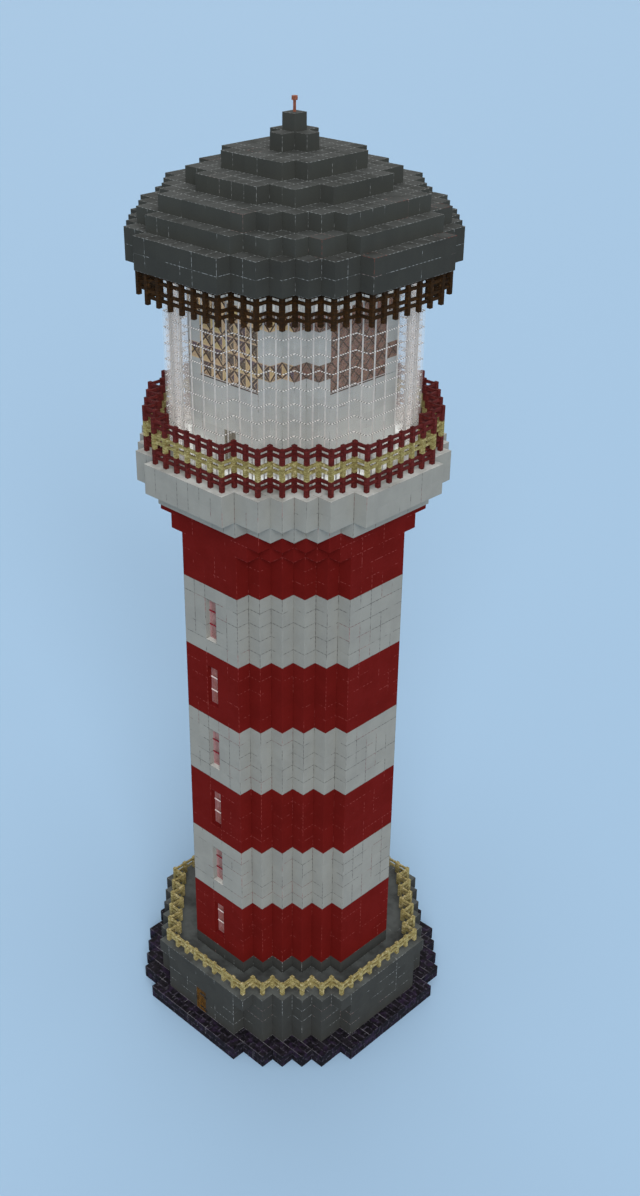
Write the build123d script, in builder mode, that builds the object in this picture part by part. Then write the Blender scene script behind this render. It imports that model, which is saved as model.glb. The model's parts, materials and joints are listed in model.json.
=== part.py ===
from build123d import *
import os

# Lighthouse of cubic blocks, as a 1:2 scale model (one real metre is 500 mm here).
# Origin on the tower's axis at the underside of the footing, +Z up, door towards -Y.

os.makedirs("parts", exist_ok=True)

# The two modules that the whole tower is laid out on
block = 500  # one block across, in plan
course = 500  # one course of blocks, in height

# Plans of the stepped rounds: how many blocks wide the round is at each row of its
# edge, outermost row first. Read backwards the same numbers give the depths.
footing_plan = (9, 13, 15, 17, 19, 21)
base_plan = (7, 11, 13, 15, 17, 19)
terrace_plan = (9, 11, 13, 15, 17, 19)
shaft_plan = (5, 7, 9, 11, 13, 15)
corbel_plans = ((7, 9, 11, 13, 15), (9, 11, 13, 15))
apron_plan = (7, 11, 13, 15, 17)
gallery_plan = (7, 11, 13, 15, 17, 19)
glazing_plan = (5, 9, 11, 13, 15, 17)
core_plan = (7, 9, 11)
eaves_plan = (7, 11, 13, 15, 17, 19)
lower_dome_plans = ((7, 11, 13, 15, 17), (7, 9, 11, 13, 15))
upper_dome_plans = ((5, 9, 11), (5, 7))
crown_plans = ((1, 3), (1,))

# Heights, in courses
footing_courses = 1
base_courses = 3
deck_courses = 1
plinth_courses = 1
band_courses = 5
band_colours = ("red", "white", "red", "white", "red", "white")
shoulder_courses = 3
apron_courses = 1
gallery_courses = 2
lantern_courses = 12
eaves_courses = 2
terrace_fence_rows = 1
railing_rows = 3
lattice_rows = 2

# Lamps round the core, in blocks and in courses above the gallery
panel_blocks = 5
panel_courses = 5
panel_start = 5
lamp_row_starts = (6, 9)

# Walls, floors and glass
wall = 500
storey_floor = 150
glazing = 62

# Windows, one above another in the front of the shaft
window_width = 500
window_height = 1500
window_sill = 500
casing = 36
casing_depth = 62
window_glass = 12

# Doors
door_width = 500
door_height = 1000
door_thickness = 94
door_gap = 6
door_stile = 70
panel_recess = 20
upper_door_width = 500
upper_door_height = 1000

# Door furniture
pin_radius = 12
pin_clearance = 0.3
eye_wall = 8
eye_height = 60
hinge_standoff = 26
hinge_play = 1
hinge_inset = 160
strap_length = 300
strap_thickness = 10
bracket_width = 84
pull_height = 160
pull_bar = 16
pull_reach = 45
pull_bend = 14

# Post and rail fences, in rows one course high. The middle of a main rail lies
# this far below the top of its row, and the rows with one are counted from below.
post = 125
rail = 62
rail_height = 94
rail_drop = 78
terrace_rail_rows = (1,)
gallery_rail_rows = (3,)
lattice_rail_rows = (1,)

# Finial on the roof
finial_rod = 62
finial_rod_height = 320
finial_head = 125

# Levels
footing_top = footing_courses * course
base_top = footing_top + base_courses * course
terrace = base_top + deck_courses * course
shaft_foot = terrace + plinth_courses * course
band_height = band_courses * course
shaft_top = shaft_foot + (len(band_colours) + 1) * band_height
apron_top = shaft_top + apron_courses * course
gallery = apron_top + gallery_courses * course
eaves = gallery + lantern_courses * course
eaves_top = eaves + eaves_courses * course


def stepped(plan, inset=0, mode=Mode.ADD):
    """Fill a stepped round, its whole edge moved in by the inset."""
    for across, deep in zip(plan, reversed(plan)):
        Rectangle(across * block - 2 * inset, deep * block - 2 * inset, mode=mode)


def four_sides(plan, depth_in):
    """Places on the four flat sides, on a line that far inside their faces."""
    return PolarLocations(plan[-1] * block / 2 - depth_in, 4, start_angle=-90)


def slabs(plans, foot, height):
    """Stack one stepped slab of the given height for each plan."""
    for number, plan in enumerate(plans):
        with BuildSketch(Plane.XY.offset(foot + number * height)) as outline:
            stepped(plan)
        extrude(outline.sketch, amount=height)


def side_walls(plan, width, foot, height):
    """Raise four straight walls, one in the middle of each side."""
    with BuildSketch(Plane.XY.offset(foot)) as outline:
        with four_sides(plan, wall / 2):
            Rectangle(wall, width)
    extrude(outline.sketch, amount=height)


def corner_walls(plan, side_plan, width, foot, height):
    """Raise the four stepped walls that are left between the side walls."""
    with BuildSketch(Plane.XY.offset(foot)) as outline:
        stepped(plan)
        stepped(side_plan, wall, Mode.SUBTRACT)
        with four_sides(side_plan, wall / 2):
            Rectangle(wall, width, mode=Mode.SUBTRACT)
    extrude(outline.sketch, amount=height)


def corner_run(plan):
    """Centres of the edge blocks from one side's last block to the next side's first."""
    halves = [(blocks - 1) // 2 for blocks in plan]
    across = halves[0]
    deep = halves[-1]
    run = []
    for next_across, next_deep in zip(halves[1:], reversed(halves[:-1])):
        run += [(across, row) for row in range(deep - 1, next_deep - 1, -1)]
        run += [(column, next_deep) for column in range(across + 1, next_across + 1)]
        across = next_across
        deep = next_deep
    return [(column * block, -row * block) for column, row in run[:-1]]


def side_fences(plan, foot, height, rail_rows):
    """Straight runs of posts and rails along the middle of the side blocks."""
    posts = plan[0]
    with BuildSketch(Plane.XY.offset(foot)) as post_feet:
        with four_sides(plan, block / 2):
            with GridLocations(0, block, 1, posts):
                Rectangle(post, post)
    extrude(post_feet.sketch, amount=height)
    for row in rail_rows:
        with BuildSketch(Plane.XY.offset(foot + row * course - rail_drop)) as rails:
            with four_sides(plan, block / 2):
                Rectangle(rail, (posts - 1) * block)
        extrude(rails.sketch, amount=rail_height / 2, both=True)


def corner_fences(plan, foot, height, rail_rows):
    """Stepped runs of posts and rails, butted against the end posts of the sides."""
    with BuildSketch(Plane.XY.offset(foot)) as post_feet:
        with PolarLocations(0, 4):
            with Locations(*corner_run(plan)):
                Rectangle(post, post)
    extrude(post_feet.sketch, amount=height)
    for row in rail_rows:
        with BuildSketch(Plane.XY.offset(foot + row * course - rail_drop)) as rails:
            stepped(plan, (block - rail) / 2)
            stepped(plan, (block + rail) / 2, Mode.SUBTRACT)
            with four_sides(plan, block / 2):
                Rectangle(post, (plan[0] - 1) * block + post, mode=Mode.SUBTRACT)
        extrude(rails.sketch, amount=rail_height / 2, both=True)


def save(piece, name):
    """Label a finished piece and write it under that name."""
    piece.part.label = name
    export_step(piece.part, f"parts/{name}.step")


# Footing of rough stone, one step wider than the base
with BuildPart() as footing:
    slabs([footing_plan], 0, footing_top)
save(footing, "footing")

# Base: front wall split beside and over the doorway
base_front = base_plan[-1] * block / 2
base_side = base_plan[0] * block
base_height = base_courses * course
jamb_width = (base_side - door_width) / 2
jamb_middle = (base_side + door_width) / 4
front_wall_middle = -base_front + wall / 2

with BuildPart(Plane.XY.offset(footing_top)) as front_wall_left:
    with Locations((-jamb_middle, front_wall_middle)):
        Box(jamb_width, wall, base_height, align=(Align.CENTER, Align.CENTER, Align.MIN))
save(front_wall_left, "front_wall_left")

with BuildPart(Plane.XY.offset(footing_top)) as front_wall_right:
    with Locations((jamb_middle, front_wall_middle)):
        Box(jamb_width, wall, base_height, align=(Align.CENTER, Align.CENTER, Align.MIN))
save(front_wall_right, "front_wall_right")

lintel_height = base_height - door_height
with BuildPart(Plane.XY.offset(footing_top + door_height)) as door_lintel:
    with Locations((0, front_wall_middle)):
        Box(door_width, wall, lintel_height, align=(Align.CENTER, Align.CENTER, Align.MIN))
save(door_lintel, "door_lintel")

with BuildPart() as base_side_walls:
    side_walls(base_plan, base_side, footing_top, base_height)
    with Locations((0, front_wall_middle, footing_top + base_height / 2)):
        Box(base_side, wall, base_height, mode=Mode.SUBTRACT)
save(base_side_walls, "base_side_walls")

with BuildPart() as base_corner_walls:
    corner_walls(base_plan, base_plan, base_side, footing_top, base_height)
save(base_corner_walls, "base_corner_walls")

# Terrace on top of the base, with its fence
with BuildPart() as terrace_deck:
    slabs([terrace_plan], base_top, terrace - base_top)
save(terrace_deck, "terrace_deck")

with BuildPart() as terrace_fence_sides:
    side_fences(terrace_plan, terrace, terrace_fence_rows * course, terrace_rail_rows)
save(terrace_fence_sides, "terrace_fence_sides")

with BuildPart() as terrace_fence_corners:
    corner_fences(terrace_plan, terrace, terrace_fence_rows * course, terrace_rail_rows)
save(terrace_fence_corners, "terrace_fence_corners")

# Shaft: a plinth course, then one colour band for each storey
with BuildPart() as shaft_plinth:
    slabs([shaft_plan], terrace, shaft_foot - terrace)
save(shaft_plinth, "shaft_plinth")

shaft_side = shaft_plan[0] * block
shaft_front = shaft_plan[-1] * block / 2

for number, colour in enumerate(band_colours):
    band_foot = shaft_foot + number * band_height
    with BuildPart() as band_walls:
        side_walls(shaft_plan, shaft_side, band_foot, band_height)
        with Locations((0, -shaft_front + wall / 2, band_foot + window_sill + window_height / 2)):
            Box(window_width, wall, window_height, mode=Mode.SUBTRACT)
    save(band_walls, f"{colour}_band_{number + 1}_walls")

for colour in ("red", "white"):
    with BuildPart() as band_corners:
        for number, band_colour in enumerate(band_colours):
            if band_colour == colour:
                band_foot = shaft_foot + number * band_height
                corner_walls(shaft_plan, shaft_plan, shaft_side, band_foot, band_height)
    save(band_corners, f"{colour}_band_corners")

# Shoulder: the top band, whose corners step out to carry the gallery
shoulder_foot = shaft_top - band_height
with BuildPart() as shoulder_walls:
    side_walls(shaft_plan, shaft_side, shoulder_foot, band_height)
save(shoulder_walls, "shoulder_walls")

corbel_foot = shoulder_foot + shoulder_courses * course
with BuildPart() as shoulder_corbels:
    corner_walls(shaft_plan, shaft_plan, shaft_side, shoulder_foot, shoulder_courses * course)
    for number, plan in enumerate(corbel_plans):
        corner_walls(plan, shaft_plan, shaft_side, corbel_foot + number * course, course)
save(shoulder_corbels, "shoulder_corbels")

# Floors behind the window rows
with BuildPart() as storey_floors:
    for number in range(1, len(band_colours)):
        with BuildSketch(Plane.XY.offset(shaft_foot + number * band_height)):
            stepped(shaft_plan, wall)
        extrude(amount=-storey_floor)
save(storey_floors, "storey_floors")

# Windows: a casing, and one sheet of glass behind each casing
window_middles = [
    shaft_foot + number * band_height + window_sill + window_height / 2
    for number in range(len(band_colours))
]
casing_back = -shaft_front + wall / 2
with BuildPart() as window_casings:
    with BuildSketch(Plane.XZ.offset(-casing_back)):
        with Locations(*[(0, middle) for middle in window_middles]):
            Rectangle(window_width, window_height)
            Rectangle(window_width - 2 * casing, window_height - 2 * casing, mode=Mode.SUBTRACT)
    extrude(amount=casing_depth)
save(window_casings, "window_casings")

with BuildPart() as window_panes:
    with BuildSketch(Plane.XZ.offset(-casing_back)):
        with Locations(*[(0, middle) for middle in window_middles]):
            Rectangle(window_width, window_height)
    extrude(amount=-window_glass)
save(window_panes, "window_panes")

# Gallery: an apron course, and the deck that overhangs it by one block
with BuildPart() as gallery_apron:
    slabs([apron_plan], shaft_top, apron_top - shaft_top)
save(gallery_apron, "gallery_apron")

with BuildPart() as gallery_deck:
    slabs([gallery_plan], apron_top, gallery - apron_top)
save(gallery_deck, "gallery_deck")

with BuildPart() as gallery_railing_sides:
    side_fences(gallery_plan, gallery, railing_rows * course, gallery_rail_rows)
save(gallery_railing_sides, "gallery_railing_sides")

with BuildPart() as gallery_railing_corners:
    corner_fences(gallery_plan, gallery, railing_rows * course, gallery_rail_rows)
save(gallery_railing_corners, "gallery_railing_corners")

# Lantern room: glazing that stands on the middle line of its edge blocks
glazing_line = block / 2
glazing_side = (glazing_plan[0] - 1) * block + glazing
with BuildPart() as glazing_sides:
    with BuildSketch(Plane.XY.offset(gallery)):
        with four_sides(glazing_plan, glazing_line):
            Rectangle(glazing, glazing_side)
    extrude(amount=eaves - gallery)
save(glazing_sides, "glazing_sides")

with BuildPart() as glazing_corners:
    with BuildSketch(Plane.XY.offset(gallery)):
        stepped(glazing_plan, glazing_line - glazing / 2)
        stepped(glazing_plan, glazing_line + glazing / 2, Mode.SUBTRACT)
        with four_sides(glazing_plan, glazing_line):
            Rectangle(glazing, glazing_side, mode=Mode.SUBTRACT)
    extrude(amount=eaves - gallery)
save(glazing_corners, "glazing_corners")

# Core of the lantern room: plain walls, lamp panels and two rows of lamps
core_side = panel_blocks * block
core_front = core_plan[-1] * block / 2
panel_foot = gallery + panel_start * course
panel_top = panel_foot + panel_courses * course
with BuildPart() as core_walls:
    side_walls(core_plan, core_side, gallery, panel_foot - gallery)
    side_walls(core_plan, core_side, panel_top, eaves - panel_top)
    with Locations((0, -core_front + wall / 2, gallery + upper_door_height / 2)):
        Box(upper_door_width, wall, upper_door_height, mode=Mode.SUBTRACT)
save(core_walls, "core_walls")

with BuildPart() as lamp_panels:
    side_walls(core_plan, core_side, panel_foot, panel_top - panel_foot)
save(lamp_panels, "lamp_panels")

lamp_row_feet = [gallery + start * course for start in lamp_row_starts]
with BuildPart() as lamp_rows:
    for foot in lamp_row_feet:
        corner_walls(core_plan, core_plan, core_side, foot, course)
save(lamp_rows, "lamp_rows")

core_corner_feet = [gallery] + [foot + course for foot in lamp_row_feet]
core_corner_tops = lamp_row_feet + [eaves]
with BuildPart() as core_corners:
    for foot, top in zip(core_corner_feet, core_corner_tops):
        corner_walls(core_plan, core_plan, core_side, foot, top - foot)
save(core_corners, "core_corners")

# Roof: eaves of two courses, then the dome stepping in to a crown and a finial
with BuildPart() as eaves_course:
    slabs([eaves_plan], eaves, eaves_top - eaves)
save(eaves_course, "eaves_course")

with BuildPart() as lower_dome:
    slabs(lower_dome_plans, eaves_top, course)
save(lower_dome, "lower_dome")

upper_dome_foot = eaves_top + len(lower_dome_plans) * course
with BuildPart() as upper_dome:
    slabs(upper_dome_plans, upper_dome_foot, course)
save(upper_dome, "upper_dome")

crown_foot = upper_dome_foot + len(upper_dome_plans) * course
with BuildPart() as dome_crown:
    slabs(crown_plans, crown_foot, course)
save(dome_crown, "dome_crown")

crown_top = crown_foot + len(crown_plans) * course
with BuildPart(Plane.XY.offset(crown_top)) as finial:
    Box(finial_rod, finial_rod, finial_rod_height, align=(Align.CENTER, Align.CENTER, Align.MIN))
    with Locations((0, 0, finial_rod_height)):
        Box(finial_head, finial_head, finial_head, align=(Align.CENTER, Align.CENTER, Align.MIN))
save(finial, "finial")

# Lattice that hangs below the eaves
lattice_height = lattice_rows * course
lattice_foot = eaves - lattice_height
with BuildPart() as eaves_lattice_sides:
    side_fences(eaves_plan, lattice_foot, lattice_height, lattice_rail_rows)
save(eaves_lattice_sides, "eaves_lattice_sides")

with BuildPart() as eaves_lattice_corners:
    corner_fences(eaves_plan, lattice_foot, lattice_height, lattice_rail_rows)
save(eaves_lattice_corners, "eaves_lattice_corners")


def panelled_leaf(width, height):
    """Add a door leaf with two columns of three recessed panels on both faces."""
    Box(width, door_thickness, height, align=(Align.CENTER, Align.MIN, Align.MIN))
    panel_width = (width - 3 * door_stile) / 2
    panel_height = (height - 4 * door_stile) / 3
    for face in (panel_recess / 2, door_thickness - panel_recess / 2):
        with Locations((0, face, height / 2)):
            with GridLocations(panel_width + door_stile, 0, 2, 1):
                for row in (-1, 0, 1):
                    with Locations((0, 0, row * (panel_height + door_stile))):
                        Box(panel_width, panel_recess, panel_height, mode=Mode.SUBTRACT)


# Upper door, shut in the core wall at gallery level
with BuildPart(Plane.XY.offset(gallery)) as upper_door:
    with Locations((0, -core_front)):
        panelled_leaf(upper_door_width, upper_door_height)
save(upper_door, "upper_door")

# Ground door, hung on two pins outside its right edge
leaf_width = door_width - 2 * door_gap
leaf_height = door_height - 2 * door_gap
leaf_foot = footing_top + door_gap
with BuildPart(Plane.XY.offset(leaf_foot)) as ground_door:
    with Locations((0, -base_front)):
        panelled_leaf(leaf_width, leaf_height)
save(ground_door, "ground_door")

hinge_x = leaf_width / 2
hinge_y = -base_front - hinge_standoff
eye_radius = pin_radius + pin_clearance + eye_wall
eye_feet = (leaf_foot + hinge_inset, leaf_foot + leaf_height - hinge_inset - eye_height)
with BuildPart() as door_straps:
    for foot in eye_feet:
        with BuildSketch(Plane.XY.offset(foot)):
            with Locations((hinge_x - strap_length, -base_front)):
                Rectangle(strap_length, strap_thickness, align=(Align.MIN, Align.MAX))
            with Locations((hinge_x, hinge_y)):
                Circle(eye_radius)
                Rectangle(eye_radius, hinge_standoff, align=(Align.MAX, Align.MIN))
                Circle(pin_radius + pin_clearance, mode=Mode.SUBTRACT)
        extrude(amount=eye_height)
save(door_straps, "door_straps")

# Each pin stands on a bracket that is fixed to the wall beside the doorway
bracket_height = eye_height / 2
with BuildPart() as door_pins:
    for foot in eye_feet:
        with BuildSketch(Plane.XY.offset(foot - hinge_play)):
            with Locations((door_width / 2, -base_front)):
                Rectangle(bracket_width, hinge_standoff, align=(Align.MIN, Align.MAX))
            with Locations((hinge_x, hinge_y)):
                Circle(eye_radius)
        extrude(amount=-bracket_height)
        with Locations((hinge_x, hinge_y, foot - hinge_play)):
            Cylinder(pin_radius, eye_height + hinge_play, align=(Align.CENTER, Align.CENTER, Align.MIN))
save(door_pins, "door_pins")

pull_x = -leaf_width / 2 + door_stile / 2
pull_middle = leaf_foot + leaf_height / 2
with BuildPart() as door_pull:
    with BuildSketch(Plane.YZ.offset(pull_x)) as pull_side:
        with Locations((-base_front, pull_middle)):
            Rectangle(pull_reach, pull_height, align=(Align.MAX, Align.CENTER))
        fillet(pull_side.vertices().group_by(Axis.X)[0], pull_bend)
        with Locations((-base_front, pull_middle)):
            Rectangle(pull_reach - pull_bar, pull_height - 2 * pull_bar,
                      align=(Align.MAX, Align.CENTER), mode=Mode.SUBTRACT)
    extrude(amount=pull_bar / 2, both=True)
save(door_pull, "door_pull")
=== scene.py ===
import json
import math
import bpy
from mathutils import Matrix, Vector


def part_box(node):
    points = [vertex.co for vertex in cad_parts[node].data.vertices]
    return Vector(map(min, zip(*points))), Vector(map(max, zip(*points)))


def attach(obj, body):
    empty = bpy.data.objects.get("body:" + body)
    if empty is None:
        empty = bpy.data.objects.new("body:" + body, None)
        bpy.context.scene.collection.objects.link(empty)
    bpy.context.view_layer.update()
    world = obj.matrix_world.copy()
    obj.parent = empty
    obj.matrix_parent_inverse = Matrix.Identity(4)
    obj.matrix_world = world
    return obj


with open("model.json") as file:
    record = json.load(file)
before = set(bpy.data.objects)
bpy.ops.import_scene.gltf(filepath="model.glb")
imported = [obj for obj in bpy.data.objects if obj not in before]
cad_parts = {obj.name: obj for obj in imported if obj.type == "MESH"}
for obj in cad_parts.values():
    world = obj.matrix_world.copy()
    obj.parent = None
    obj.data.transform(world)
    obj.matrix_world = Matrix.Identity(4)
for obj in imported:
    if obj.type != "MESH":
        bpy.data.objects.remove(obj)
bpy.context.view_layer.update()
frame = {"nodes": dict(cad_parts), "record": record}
nodes = frame["nodes"]
print("frame loaded:", len(nodes), "nodes")

block = 0.5  # one block, in metres, across and in height


def paint(red, green, blue):  # a colour as it is picked on a screen, 0 to 255
    def light(value):
        value /= 255
        return value / 12.92 if value <= 0.04045 else ((value + 0.055) / 1.055) ** 2.4
    return (light(red), light(green), light(blue), 1.0)


class Signal:  # a socket that can be added, multiplied and compared
    def __init__(self, finish, socket):
        self.finish = finish
        self.socket = socket

    def __add__(self, other): return self.finish.maths("ADD", self, other)
    def __radd__(self, other): return self.finish.maths("ADD", other, self)
    def __sub__(self, other): return self.finish.maths("SUBTRACT", self, other)
    def __rsub__(self, other): return self.finish.maths("SUBTRACT", other, self)
    def __mul__(self, other): return self.finish.maths("MULTIPLY", self, other)
    def __rmul__(self, other): return self.finish.maths("MULTIPLY", other, self)
    def __gt__(self, other): return self.finish.maths("GREATER_THAN", self, other)
    def __lt__(self, other): return self.finish.maths("LESS_THAN", self, other)
    def __abs__(self): return self.finish.maths("ABSOLUTE", self)
    def least(self, other): return self.finish.maths("MINIMUM", self, other)
    def most(self, other): return self.finish.maths("MAXIMUM", self, other)


class Finish:  # one material while its nodes are being laid
    # roughness is the plain value, and a pattern that is fed to it later takes its place
    def __init__(self, name, roughness, specular, metallic=0.0):
        self.material = bpy.data.materials.new(name)
        self.material.use_nodes = True
        self.tree = self.material.node_tree
        self.shader = self.tree.nodes["Principled BSDF"]
        self.shader.inputs["Roughness"].default_value = roughness
        self.shader.inputs["Specular IOR Level"].default_value = specular
        self.shader.inputs["Metallic"].default_value = metallic
        self.place = self.node("TexCoord", out="Object")
        self.facing = self.node("TexCoord", out="Normal")

    def node(self, kind, settings=None, sockets=None, out=0):
        made = self.tree.nodes.new("ShaderNode" + kind)
        for name, value in (settings or {}).items():
            if name == "stops":
                ramp = made.color_ramp
                while len(ramp.elements) < len(value):
                    ramp.elements.new(0.5)
                for element, (position, colour) in zip(ramp.elements, value):
                    element.position = position
                    element.color = colour
            else:
                setattr(made, name, value)
        for name, value in (sockets or {}).items():
            if isinstance(value, Signal):
                self.tree.links.new(value.socket, made.inputs[name])
            else:
                made.inputs[name].default_value = value
        return Signal(self, made.outputs[out])

    def maths(self, operation, *values):
        return self.node("Math", {"operation": operation}, dict(enumerate(values)))

    def vector(self, operation, *values):
        return self.node("VectorMath", {"operation": operation}, dict(enumerate(values)))

    def parts(self, vector):  # the three numbers of a vector
        split = self.node("SeparateXYZ", None, {0: vector}).socket.node
        return [Signal(self, output) for output in split.outputs]

    def step(self, value, low, high):  # 0 below low, 1 above high
        return self.node("MapRange", {"interpolation_type": "SMOOTHSTEP"}, {0: value, 1: low, 2: high})

    def noise(self, scale, detail=2.0, squeeze=None, twist=0.0, rough=0.6):
        at = self.vector("MULTIPLY", self.place, squeeze) if squeeze else self.place
        return self.node("TexNoise", None, {
            "Vector": at, "Scale": scale, "Detail": detail, "Roughness": rough, "Distortion": twist})

    def chance(self, cell, salt=0.0):  # one random number for each cell
        return self.node("TexWhiteNoise", {"noise_dimensions": "4D"}, {"Vector": cell, "W": salt})

    def blend(self, factor, under, over):
        return self.node("Mix", {"data_type": "RGBA"}, {0: factor, 6: under, 7: over}, out=2)

    def ramp(self, value, stops):
        return self.node("ValToRGB", {"stops": stops}, {0: value})

    def feed(self, name, value):
        self.tree.links.new(value.socket, self.shader.inputs[name])

    def colour(self, value):
        self.feed("Base Color", value)

    def relief(self, height, depth, strength):
        bump = self.node("Bump", None, {"Height": height, "Distance": depth, "Strength": strength})
        self.feed("Normal", bump)


underSkin = -0.03  # a point is read this far below the surface, so that it falls inside its block


def blockGrid(finish):  # which block a point is in, which way its face looks, how far the block's edges are
    inside = finish.vector("ADD", finish.place, finish.vector("MULTIPLY", finish.facing, (underSkin,) * 3))
    # the middle block stands on the axis, so in plan the edges lie half a block off
    counted = finish.vector("ADD", finish.vector("MULTIPLY", inside, (1 / block,) * 3), (0.5, 0.5, 0.0))
    within = finish.parts(finish.vector("FRACTION", counted))
    away = finish.parts(finish.vector("ABSOLUTE", finish.facing))
    return {
        "cell": finish.vector("FLOOR", counted), "within": within,
        "faces": [finish.step(part, 0.5, 0.7) for part in away],
        # an edge across the way a face looks is no edge of that face, so it is moved out of reach
        "toEdge": [0.5 - abs(part - 0.5) + looks * 4 for part, looks in zip(within, away)],
    }


# a share of joints is how much of their length shows, from 0 to 1; widths are in metres
# each stone's top faces take a lighter colour than its sides: painted light, as if the tops were lit from above
whiteStone = {
    "face": paint(139, 139, 133), "patch": paint(132, 132, 127), "paintedLightTopFace": paint(200, 201, 196),
    "joint": paint(78, 76, 74), "jointWidth": 0.019, "topWidth": 1.0, "dots": 0.6,
    "levelJoints": 0.66, "uprightJoints": 0.6, "topJoints": 0.15,
    "tone": 0.05, "grain": 0.08, "rough": 0.5, "fleck": paint(130, 84, 82), "fleckShare": 0.12,
}
deckStone = dict(
    whiteStone, paintedLightTopFace=paint(188, 190, 187), jointWidth=0.016,
    levelJoints=0.06, uprightJoints=0.55, tone=0.03)
# the lantern core is the white stone painted lighter: painted light that lifts the shade inside the glazed
# lantern room
coreStonePaintedLight = dict(
    whiteStone, face=paint(163, 165, 162), patch=paint(156, 158, 155), joint=paint(110, 112, 112),
    levelJoints=0.1, uprightJoints=0.3, tone=0.10)
redStone = {
    "face": paint(97, 20, 17), "patch": paint(91, 18, 15), "paintedLightTopFace": paint(112, 26, 28),
    "joint": paint(140, 66, 62), "jointWidth": 0.014, "topWidth": 1.0, "dots": 0.97,
    "levelJoints": 0.5, "uprightJoints": 0.4, "topJoints": 0.1,
    "tone": 0.05, "grain": 0.10, "rough": 0.5, "fleck": paint(140, 60, 60), "fleckShare": 0.10,
}
darkStone = {
    "face": paint(60, 61, 59), "patch": paint(56, 57, 56), "paintedLightTopFace": paint(88, 92, 91),
    "joint": paint(150, 154, 154), "jointWidth": 0.013, "topWidth": 1.0, "dots": 0.85,
    "levelJoints": 0.54, "uprightJoints": 0.36, "topJoints": 0.2,
    "tone": 0.08, "grain": 0.10, "rough": 0.5, "fleck": paint(118, 66, 56), "fleckShare": 0.14,
}
roofStone = dict(
    darkStone, face=paint(61, 63, 60), patch=paint(58, 60, 58), paintedLightTopFace=paint(75, 77, 76),
    joint=paint(140, 144, 144), jointWidth=0.010, topWidth=2.0, rough=0.3, fleckShare=0.06,
    levelJoints=0.5, uprightJoints=0.45, topJoints=0.95)
eavesStone = dict(roofStone, face=paint(56, 57, 54), patch=paint(53, 54, 52), levelJoints=0.82)

# what all block stones share; runs are the stretches that joints show in
stoneDetail = {
    "clouds": 1.3, "grain": 38.0, "pits": 24.0, "dust": 90.0,  # noise scales
    "cloudShare": 0.8, "jointShare": 0.9, "bumpDepth": 0.008,
    "levelRuns": {"scale": 0.85, "squeeze": (1, 1, 1.6)},
    "uprightRuns": {"scale": 1.05, "squeeze": (1.5, 1.5, 0.7)},
    "topRuns": {"scale": 0.9},
    "dashes": 3, "dashScale": 11.0, "dashSwing": 0.14,  # dashes to a block along a joint
}


def shownShare(finish, runs, share):  # the noise in runs goes from about 0.3 to 0.7
    return finish.step(runs, 0.67 - share * 0.34, 0.71 - share * 0.34)


def jointLine(finish, toEdge, width):  # solid in its middle third, then fading out
    return 1 - finish.step(toEdge, width * 0.35, width)


def stoneFinish(name, look):
    finish = Finish(name, roughness=0.9, specular=0.04)
    grid = blockGrid(finish)
    isTop = grid["faces"][2]
    # the tops get a lighter colour of their own: painted light from above
    colour = finish.blend(isTop, look["face"], look["paintedLightTopFace"])
    # blocks differ a little from each other, and each has faint cloudy patches
    clouds = finish.step(finish.noise(stoneDetail["clouds"], 3.0), 0.35, 0.7)
    colour = finish.blend(clouds * stoneDetail["cloudShare"], colour, look["patch"])
    tone = 1 + (finish.chance(grid["cell"]) - 0.5) * look["tone"]
    grain = 1 + (finish.noise(stoneDetail["grain"], 3.0) - 0.5) * (2 * look["grain"])
    colour = finish.node("VectorMath", {"operation": "SCALE"}, {0: colour, "Scale": tone * grain})
    # joints between blocks show only in stretches, and along those as dots or dashes
    levelEdge, uprightEdge = grid["toEdge"][2], grid["toEdge"][0].least(grid["toEdge"][1])
    width = (1 + isTop * (look["topWidth"] - 1)) * (look["jointWidth"] / block)
    showLevel, showUpright, showTop = [
        shownShare(finish, finish.noise(**stoneDetail[way + "Runs"]), look[way + "Joints"])
        for way in ("level", "upright", "top")]
    level = jointLine(finish, levelEdge, width) * showLevel
    upright = jointLine(finish, uprightEdge, width) * (showUpright * (1 - isTop) + showTop * isTop)
    x, y, z = finish.parts(finish.place)
    beat = finish.maths("SINE", (x + y + z) * (2 * math.pi * stoneDetail["dashes"] / block))
    uneven = finish.noise(stoneDetail["dashScale"], 1.0)
    gaps = finish.step(uneven + beat * stoneDetail["dashSwing"], 0.42, 0.52)
    joint = level.most(upright) * (1 - gaps * look["dots"])
    # a few blocks have joints of another colour
    isFleck = finish.step(finish.chance(grid["cell"], 3.0), 1 - look["fleckShare"], 1.01 - look["fleckShare"])
    jointColour = finish.blend(isFleck, look["joint"], look["fleck"])
    finish.colour(finish.blend(joint * stoneDetail["jointShare"], colour, jointColour))
    groove = finish.step(levelEdge.least(uprightEdge), 0.0, width)
    pits, dust = finish.noise(stoneDetail["pits"], 4.0), finish.noise(stoneDetail["dust"])
    finish.relief(groove * 0.6 + pits * 0.25 + dust * 0.12, stoneDetail["bumpDepth"], look["rough"])
    finish.feed("Roughness", 0.82 + clouds * 0.12)
    return finish.material


# small black bricks, two rows of them to a block, laid along x
blackStone = {
    "base": paint(31, 28, 34), "deep": paint(14, 12, 17),
    # the paler ridge colour is a painted highlight along the raised brick edges
    "highlightedRidge": paint(74, 70, 82), "purple": paint(50, 36, 62),
    "rowsPerMetre": 4, "bricksPerMetre": 2, "shift": 0.37,  # shift in bricks, row to row
    "wander": 0.06, "wanderScale": 3.0, "chips": 13.0, "blotches": 9.0, "tints": 3.3, "bumpDepth": 0.012,
    "joint": paint(132, 130, 134), "jointWidth": 0.012,
    "alongJoints": 0.75, "alongRuns": 0.8, "otherJoints": 0.22, "otherRuns": 1.3, "breaks": 7.0,
}


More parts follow.
